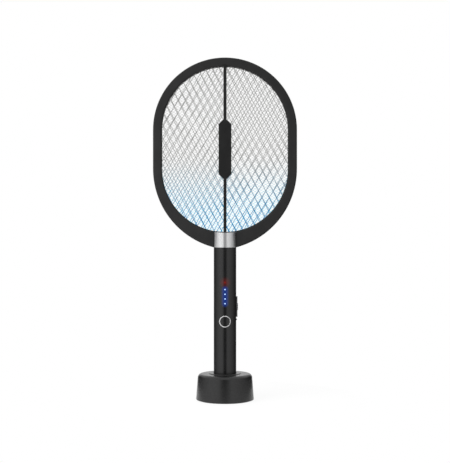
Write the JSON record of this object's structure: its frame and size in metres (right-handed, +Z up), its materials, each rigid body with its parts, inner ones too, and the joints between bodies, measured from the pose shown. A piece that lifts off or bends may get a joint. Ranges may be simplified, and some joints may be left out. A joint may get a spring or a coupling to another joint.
{
  "type": "electric fly swatter",
  "caption": "Racket-shaped electric fly swatter with diamond wire nets in a black frame, a silver collar and a round handle, standing in a charging base.",
  "frame": {"origin": "centre of the base's underside, on the table", "axes": "+Z up along the handle, +X to the right seen from the front, and the button and lamps face -Y"},
  "size_m": [0.204, 0.082, 0.4855],
  "materials": {
    "black_plastic": "satin moulded black",
    "dark_plastic": "matt moulded dark grey",
    "rubber": "matt rubber",
    "steel": "zinc-plated",
    "silver": "satin silver",
    "net_wire": "drawn wire",
    "gold": "gold-plated",
    "nickel": "nickel-plated",
    "circuit_board": "solder mask",
    "battery_sleeve": "shrunk sleeve",
    "component_black": "moulded",
    "component_light": "moulded",
    "capacitor": "dipped",
    "lamp_blue": "clear, lit blue",
    "lamp_red": "clear, dimly lit red",
    "ring_white": "light grey inlay",
    "uv_clear": "clear, lit blue",
    "copper": "bare",
    "lead_cover": "soft insulation"
  },
  "bodies": {
    "base": {"base_shell": "black_plastic", "base_cover": "dark_plastic", "base_foot": "rubber", "base_weight": "steel", "base_screws": "steel", "base_board": "circuit_board", "usb_socket": "nickel", "dock_cup": "dark_plastic", "pin_sleeves": "gold"},
    "racket": {"handle_front": "black_plastic", "handle_rear": "black_plastic", "handle_cap": "black_plastic", "charge_contacts": "nickel", "handle_screws": "steel", "battery_cell": "battery_sleeve", "battery_leads": "lead_cover", "main_board": "circuit_board", "hv_transformer": "component_black", "hv_capacitors": "capacitor", "rectifier_diodes": "component_black", "lamp_chips": "component_light", "blue_light_guide": "lamp_blue", "red_light_guide": "lamp_red", "button_ring": "ring_white", "tact_switch": "component_black", "slide_switch": "component_light", "neck_collar": "silver", "frame_front": "black_plastic", "frame_rear": "black_plastic", "frame_screws": "steel", "front_net": "net_wire", "centre_net": "net_wire", "rear_net": "net_wire", "front_spacer": "dark_plastic", "rear_spacer": "dark_plastic", "front_brace": "black_plastic", "rear_brace": "black_plastic", "uv_boards": "circuit_board", "uv_chips": "component_light", "uv_windows": "uv_clear", "net_terminals": "copper", "net_leads": "lead_cover", "uv_leads": "lead_cover"},
    "contact_pins": {"contact_pins": "gold"},
    "power_button": {"power_button": "black_plastic", "tact_plunger": "component_light"},
    "thumb_slider": {"thumb_slider": "dark_plastic", "switch_lever": "component_black"}
  },
  "joints": [
    {"name": "racket_lift", "type": "slide", "parent": "base", "child": "racket", "axis": [0, 0, 1], "range_m": [0, 0.06]},
    {"name": "pin_press", "type": "slide", "parent": "base", "child": "contact_pins", "axis": [0, 0, -1], "range_m": [0, 0.0008], "stiffness_N_per_m": 600},
    {"name": "button_press", "type": "slide", "parent": "racket", "child": "power_button", "axis": [0, 1, 0], "range_m": [0, 0.0008], "stiffness_N_per_m": 2000},
    {"name": "switch_slide", "type": "slide", "parent": "racket", "child": "thumb_slider", "axis": [0, 0, -1], "range_m": [0, 0.002]}
  ]
}
